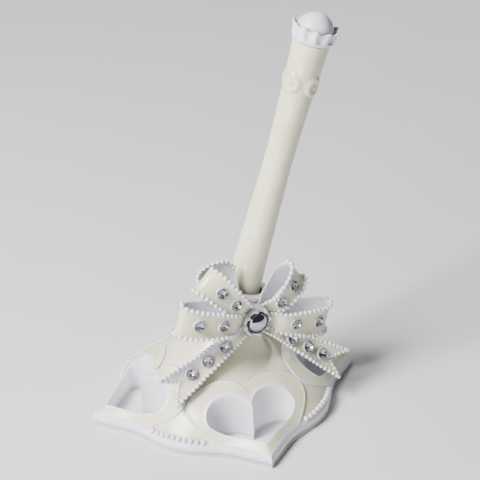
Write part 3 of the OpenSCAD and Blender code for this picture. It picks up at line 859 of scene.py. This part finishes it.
def tail_point(name, x, share, out):
    """Point on a tail: x from the knot, share of the half width across, out before its middle surface."""
    spec = TAILS[name][0]
    across = share * tail_half(x, spec)
    ripple = 0.3 * math.sin(x * 0.42 + across * 0.25) * min(1, x / 30)
    y = RIBBON_T / 2 - valley_depth(across) - out + ripple + 1.4 * (1 - tuck(x))
    return at_strip(spec, spec[2]) @ Vector((x, y, across))


def build_tail(name):
    """One tail: a folded ribbon that thins to a soft edge along its swallow-tailed end."""
    spec = TAILS[name][0]
    thin_from = 0.97

    def place(u, v):
        share, out = ribbon_section(u)
        x = TAIL_START + (spec[3] - TAIL_START - tail_end(share) - 0.2) * v
        if out < 0:
            out *= TAIL_BACKING
        if v > thin_from:
            out *= math.sqrt(max(0.0, 1 - ((v - thin_from) / (1 - thin_from)) ** 2))
        if v < 0.001:
            share, out = 0, 0
        return tail_point(name, x, share, out)

    bm = bmesh.new()
    skin(bm, 64, 100, place, left_tail_paint if name == "tail_left" else ribbon_paint)
    piece(f"{name}_ribbon", bm, (IVORY, WHITE), "stand", (name,), 60)


def build_tail_beads(name):
    """Beads along both edges of a tail and round its notch."""
    spec = TAILS[name][0]
    edge, lift, notch_beads = 0.98, 0.45, 5
    bm = bmesh.new()

    def add(x, share, size):
        add_bead(bm, tail_point(name, x, share, lift), size)

    for side in (-1, 1):
        x = KNOT_R + 0.6
        while x < spec[3] - 1.2:
            size = BEAD_R * (0.62 + 0.38 * min(1, x / 24))
            add(x, side * edge, size)
            x += 2.3 * size
        for i in range(notch_beads + 1):
            share = 1 - i / notch_beads
            if side > 0 or i < notch_beads:
                add(spec[3] - 0.3 - tail_end(share), side * share * edge, BEAD_R * 0.95)
    piece(f"edging_{name}_beads", bm, (WHITE,), "stand", (f"edging_{name}",))


for name in LOOPS:
    build_loop(name)
    build_loop_beads(name)
for name in TAILS:
    build_tail(name)
    build_tail_beads(name)

# ---------- crystals ----------


def front_at(strip, x):
    """How far the front face of a loop stands before its middle line, at distance x from the knot."""
    t = math.acos(1 - 2 * x / strip[2])
    return (strip[3] / 2 + RIBBON_T / 2) * math.sin(t) * math.sin(t / 2) ** 0.7


def stone_frames():
    """The place of each crystal, with z out of the ribbon's front face."""
    for strip, places in LOOPS.values():
        for x in places:
            lean = math.degrees(math.atan2(front_at(strip, x - 1) - front_at(strip, x + 1), 2))
            yield (at_strip(strip) @ Matrix.Translation((x, -front_at(strip, x), 0))
                   @ turn(lean, "Z") @ turn(90, "X"))
    for spec, places in TAILS.values():
        for x in places:
            yield at_strip(spec, spec[2]) @ Matrix.Translation((x, -VALLEY * 2.2, 0)) @ turn(90, "X")


def build_stones():
    """Raised cups, and in each a cut crystal with a foiled point, a girdle, crown facets and a table."""
    sides, crown_h, table_h = 8, 1.32, 1.78
    cup = rounded([(0, -1.4), (2.95, -1.4), (2.9, -0.5), (2.72, 0.2), (2.58, 0.5), (2.44, 0.52), (2.38, 0.3),
                   (2.34, -0.62), (0, -0.62)], 0.2, 3)
    cups, stones = bmesh.new(), bmesh.new()
    for index, place in enumerate(stone_frames()):
        place = place @ turn(17 * index, "Z")
        lathe(cups, cup, place, 40)
        before = set(stones.faces)
        # Radius, height and twist, as a share of a side
        rows = [(0, -0.5, 0), (STONE_R - 0.06, 0.62, 0), (STONE_R - 0.03, 0.78, 0),
                (STONE_R * 0.78, crown_h, 0.5), (STONE_R * 0.52, table_h, 0), (0, table_h, 0)]
        last = len(rows) - 1

        def facet(u, v, rows=rows, place=place):
            r, h, twist = rows[round(v * last)]
            a = 2 * math.pi * (u + twist / sides)
            return place @ Vector((r * math.cos(a), r * math.sin(a), h))

        skin(stones, sides, last, facet, lambda u, v: 1 if v * last < 1 else 0)
        new_faces = [f for f in stones.faces if f not in before]
        bmesh.ops.connect_verts_nonplanar(stones, angle_limit=0.01, faces=new_faces)
    piece("stone_cup_rings", cups, (WHITE,), "stand", ("stone_cups",), 60)
    bmesh.ops.dissolve_limit(stones, angle_limit=0.02, verts=stones.verts, edges=stones.edges)
    piece("rhinestone_facets", stones, (CRYSTAL, FOIL), "stand", ("rhinestones",), 4)


build_stones()

# ---------- pen ----------


def barrel_r(s):
    """Radius of the barrel: a slim waist that swells to the grip and to the crown."""
    if s < WAIST_S:
        return WAIST_R + (GRIP_R - WAIST_R) * ((WAIST_S - s) / (WAIST_S - GRIP_S)) ** 1.3
    return WAIST_R + (CROWN_R - WAIST_R) * ((s - WAIST_S) / (FINIAL_S - WAIST_S)) ** 1.6


def build_barrel():
    """The barrel, very slightly out of true as a hand-finished casting is."""
    steps = 116
    profile = [(0, BARREL_S), (5.8, BARREL_S), (6.2, 14.4), (6.3, 15), (7.72, GRIP_S - 1)]
    heights = [GRIP_S + i * (FINIAL_S - GRIP_S) / steps for i in range(steps + 1)]
    profile += [(barrel_r(s), s) for s in heights]
    profile += [(CROWN_R - 0.6, FINIAL_S + 0.02), (0, FINIAL_S + 0.02)]
    bm = bmesh.new()
    lathe(bm, profile, AT_PEN, 144, wobble=0.03)
    piece("barrel_shell", bm, (IVORY,), "pen", ("pen_barrel",))


def build_bosses():
    """Four soft round bosses pressed up from the barrel, each with a fine rim and a dot."""
    # Distance from the boss's middle and height over the barrel
    rows = [(0, 0.75), (0.25, 0.7), (0.5, 0.5), (0.7, 0.28), (1.0, 0.2), (1.6, 0.24), (2.2, 0.36),
            (2.7, 0.54), (3.1, 0.68), (3.4, 0.72), (3.7, 0.62), (4.0, 0.42), (4.3, 0.24), (4.6, 0.1),
            (4.9, 0),
            (5.1, -0.12), (5.2, -0.4), (4.4, -1.2), (0, -1.2)]
    last = len(rows) - 1
    bm = bmesh.new()
    for i in range(BOSS_COUNT):
        around = AT_PEN @ turn(BOSS_ANGLE + 360 / BOSS_COUNT * i, "Z")

        def place(u, v, around=around):
            rho, h = rows[round(v * last)]
            a = 2 * math.pi * u
            up, across = rho * math.cos(a), rho * math.sin(a)
            r = barrel_r(BOSS_S + up)
            curved = math.sqrt(r * r - across * across)
            flat = 0.22 * max(0.0, 1 - (rho / 4.8) ** 2) if h > 0 else 0
            return around @ Vector((curved + (r - curved) * flat + h, across, BOSS_S + up))

        skin(bm, 64, last, place)
    piece("barrel_boss_relief", bm, (IVORY,), "pen", ("barrel_bosses",), 60)


def build_finial():
    """Crimped cup round the dome: deep flutes that flare to a thin wavy lip, over a scalloped foot."""
    thick, heights, lip_rows = 0.85, 22, 4
    last_wall = 2 * heights + lip_rows

    def pleat(a):
        """From -1 to 1 and back once for each petal, which are not quite alike."""
        return math.cos(PETALS * a + 0.35 * math.sin(3 * a))

    def flute(a):
        """1 on a ridge and 0 in a hollow, with narrow ridges and wide scooped hollows."""
        return (0.5 + 0.5 * pleat(a)) ** 1.25

    def outer(a, f):
        """Outside of the cup at height f from 0 to 1."""
        hollow = 8.3 - 0.2 * math.sin(math.pi * f) + 0.7 * f ** 4
        ridge = 9.0 + 1.25 * f ** 1.6
        return hollow + (ridge - hollow) * flute(a)

    def place(u, v):
        a = 2 * math.pi * u
        top = 153.0 + 1.3 * flute(a) + 0.35 * math.sin(2 * a + 1)
        foot = FINIAL_S + 1.2
        k = round(v * (last_wall + 1))
        if k <= heights or k > last_wall:
            f = k / heights if k <= heights else 0
            r, s = outer(a, f), foot + (top - foot) * f
        elif k < heights + lip_rows:
            t = (k - heights) / lip_rows
            r = outer(a, 1) - thick * t
            s = top + 0.35 * math.sin(math.pi * t)
        else:
            f = 1 - (k - heights - lip_rows) / heights
            r = min(max(outer(a, f) - thick, DOME_R + 0.05), outer(a, 1) - thick)
            s = foot + (top - foot) * f
        return AT_PEN @ Vector((r * math.cos(a), r * math.sin(a), s))

    bm = bmesh.new()
    skin(bm, 240, last_wall + 1, place)

    # Radius and height over the barrel's end
    foot_profile = rounded([(0, 0.05), (7.6, 0.05), (8.15, 0.35), (8.75, 1.35), (8.85, 2.0), (8.5, 2.25),
                            (8.1, 1.9), (7.4, 1.4), (0, 1.4)], 0.3, 4)
    last = len(foot_profile) - 1

    def foot_place(u, v):
        r, h = foot_profile[round(v * last)]
        a = 2 * math.pi * u
        edge = clamp((r - 7.9) / 0.7)
        r += edge * 0.16 * pleat(a)
        h += edge * 0.22 * pleat(a)
        return AT_PEN @ Vector((r * math.cos(a), r * math.sin(a), FINIAL_S + h))

    skin(bm, 200, last, foot_place)
    piece("finial_crimped_cup", bm, (WHITE,), "pen", ("finial_ruffle",), 60)

    dome, steps = [(0, DOME_FOOT_S)], 48
    low = math.asin((DOME_FOOT_S - DOME_MIDDLE_S) / DOME_R)
    for i in range(steps + 1):
        a = low + (math.pi / 2 - low) * i / steps
        dome.append((DOME_R * math.cos(a) if i < steps else 0, DOME_MIDDLE_S + DOME_R * math.sin(a)))
    bm = bmesh.new()
    lathe(bm, dome, AT_PEN, 128, wobble=0.03)
    piece("finial_dome_shell", bm, (WHITE,), "pen", ("finial_dome",), 60)


build_barrel()
build_bosses()
build_finial()

# ---------- studio ----------

OBJECT_MIDDLE = Vector((0.01, 0, 0.07))


def studio_floor():
    """Matt pale card under the stand, with the faintest mottling."""
    material, tree, shader, place = new_material("pale_card")
    tree.links.new(blend(tree, spots(tree, place, 60, 2), linear("#E4E4E6"), linear("#DEDEE0")),
                   shader.inputs["Base Color"])
    shader.inputs["Roughness"].default_value = 0.85
    bm = bmesh.new()
    half_side_m = 3
    bmesh.ops.create_grid(bm, x_segments=24, y_segments=24, size=half_side_m)
    mesh = bpy.data.meshes.new("floor")
    bm.to_mesh(mesh)
    bm.free()
    mesh.materials.append(material)
    made = bpy.data.objects.new("floor", mesh)
    bpy.context.scene.collection.objects.link(made)


def area_light(name, position, size, power):
    """A soft white panel at a place in metres, turned to the middle of the object."""
    data = bpy.data.lights.new(name, "AREA")
    data.shape, data.size, data.size_y, data.energy = "RECTANGLE", size[0], size[1], power
    made = bpy.data.objects.new(name, data)
    made.location = position
    made.rotation_euler = (OBJECT_MIDDLE - Vector(position)).to_track_quat("-Z", "Y").to_euler()
    bpy.context.scene.collection.objects.link(made)


def camera():
    """Long lens, a little above the object and to its left."""
    azimuth, elevation, roll = math.radians(-18.31), math.radians(29.02), math.radians(-2.58)
    target, distance = Vector((0.00927, -0.00307, 0.07709)), 0.80393
    back = Vector((math.sin(azimuth) * math.cos(elevation), -math.cos(azimuth) * math.cos(elevation),
                   math.sin(elevation)))
    right = Vector((math.cos(azimuth), math.sin(azimuth), 0))
    up = back.cross(right)
    level = Matrix((right, up, back)).transposed()
    data = bpy.data.cameras.new("camera")
    data.lens, data.sensor_width = 143.67, 36
    data.clip_start, data.clip_end = 0.01, 20
    made = bpy.data.objects.new("camera", data)
    place = Matrix.Translation(target + back * distance)
    made.matrix_world = place @ level.to_4x4() @ Matrix.Rotation(roll, 4, "Z")
    bpy.context.scene.collection.objects.link(made)
    bpy.context.scene.camera = made


studio_floor()
area_light("key", (-0.62, -0.16, 0.78), (0.4, 0.4), 26.0)
area_light("left_panel", (-0.95, -0.62, 0.30), (0.5, 0.7), 7.0)
area_light("rim", (0.5, 0.6, 0.5), (0.3, 0.4), 1.6)
camera()

world = bpy.data.worlds.new("studio")
world.use_nodes = True
world.node_tree.nodes["Background"].inputs["Color"].default_value = linear("#C9CBD0")
world.node_tree.nodes["Background"].inputs["Strength"].default_value = 0.1
bpy.context.scene.world = world
